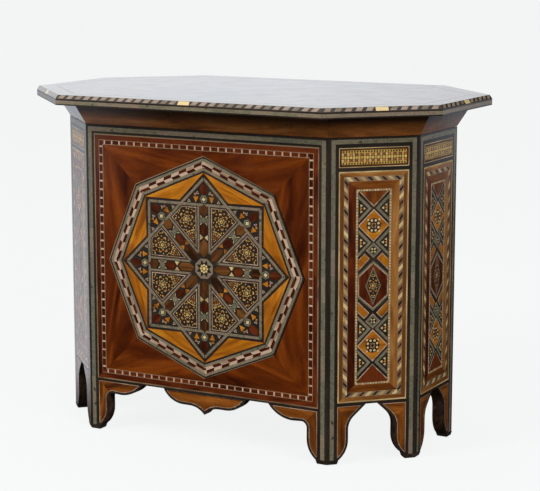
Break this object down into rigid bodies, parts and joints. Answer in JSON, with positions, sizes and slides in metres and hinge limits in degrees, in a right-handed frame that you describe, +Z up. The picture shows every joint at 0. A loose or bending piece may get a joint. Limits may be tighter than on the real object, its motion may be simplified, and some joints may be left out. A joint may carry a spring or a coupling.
{
  "type": "inlaid wooden box",
  "caption": "Long octagonal wooden box on bracket feet, with marquetry walls, mother-of-pearl and bone stringing, a splayed cornice and a hinged lid over a deep well.",
  "frame": {"origin": "on the floor, under the middle of the box", "axes": "+X to the right along the front, +Y from the front to the back, +Z up"},
  "size_m": [0.7438, 0.4708, 0.56],
  "materials": {
    "walnut_field": "deep red-brown walnut veneer under gloss lacquer",
    "ebonised_wood": "black stained hardwood, lacquered",
    "apron_walnut": "orange-brown walnut, lacquered",
    "cornice_walnut": "dark walnut, lacquered",
    "lid_walnut": "polished walnut, high gloss lacquer",
    "beech": "bare beech",
    "brass": "worn brass",
    "mother_of_pearl": "grey-green mother-of-pearl, polished",
    "bone": "cream to pink bone, polished",
    "gold_wood": "orange-yellow dyed wood, lacquered",
    "steel": "zinc plated"
  },
  "bodies": {
    "chest": {"bracket_front_l": "apron_walnut", "bracket_front_left_l": "apron_walnut", "bracket_front_left_r": "apron_walnut", "bracket_front_r": "apron_walnut", "bracket_front_right_l": "apron_walnut", "bracket_front_right_r": "apron_walnut", "bracket_left_l": "apron_walnut", "bracket_left_r": "apron_walnut", "bracket_rear_l": "apron_walnut", "bracket_rear_left_l": "apron_walnut", "bracket_rear_left_r": "apron_walnut", "bracket_rear_r": "apron_walnut", "bracket_rear_right_l": "apron_walnut", "bracket_rear_right_r": "apron_walnut", "bracket_right_l": "apron_walnut", "bracket_right_r": "apron_walnut", "floor_board": "beech", "floor_cleat_front": "beech", "floor_cleat_rear": "beech", "foot_front_left": "ebonised_wood", "foot_front_right": "ebonised_wood", "foot_left_front": "ebonised_wood", "foot_left_rear": "ebonised_wood", "foot_rear_left": "ebonised_wood", "foot_rear_right": "ebonised_wood", "foot_right_front": "ebonised_wood", "foot_right_rear": "ebonised_wood", "hinge_leaf_body_a": "brass", "hinge_leaf_body_b": "brass", "hinge_pin_a": "brass", "hinge_pin_b": "brass", "panel_front": "walnut_field", "panel_front_left": "walnut_field", "panel_front_right": "walnut_field", "panel_left": "walnut_field", "panel_rear": "walnut_field", "panel_rear_left": "walnut_field", "panel_rear_right": "walnut_field", "panel_right": "walnut_field", "pendant_front": "apron_walnut", "pendant_rear": "apron_walnut", "post_front_left": "ebonised_wood", "post_front_right": "ebonised_wood", "post_left_front": "ebonised_wood", "post_left_rear": "ebonised_wood", "post_rear_left": "ebonised_wood", "post_rear_right": "ebonised_wood", "post_right_front": "ebonised_wood", "post_right_rear": "ebonised_wood"},
    "lid": {"cornice_front": "cornice_walnut", "cornice_front_left": "cornice_walnut", "cornice_front_right": "cornice_walnut", "cornice_left": "cornice_walnut", "cornice_rear": "cornice_walnut", "cornice_rear_left": "cornice_walnut", "cornice_rear_right": "cornice_walnut", "cornice_right": "cornice_walnut", "hinge_leaf_lid_a": "brass", "hinge_leaf_lid_b": "brass", "lid_board": "lid_walnut"}
  },
  "joints": [
    {"name": "lid_hinge", "type": "hinge", "parent": "chest", "child": "lid", "pos_m": [0, 0.18165, 0.51], "axis": [-1, 0, 0], "range_deg": [0, 125]}
  ]
}
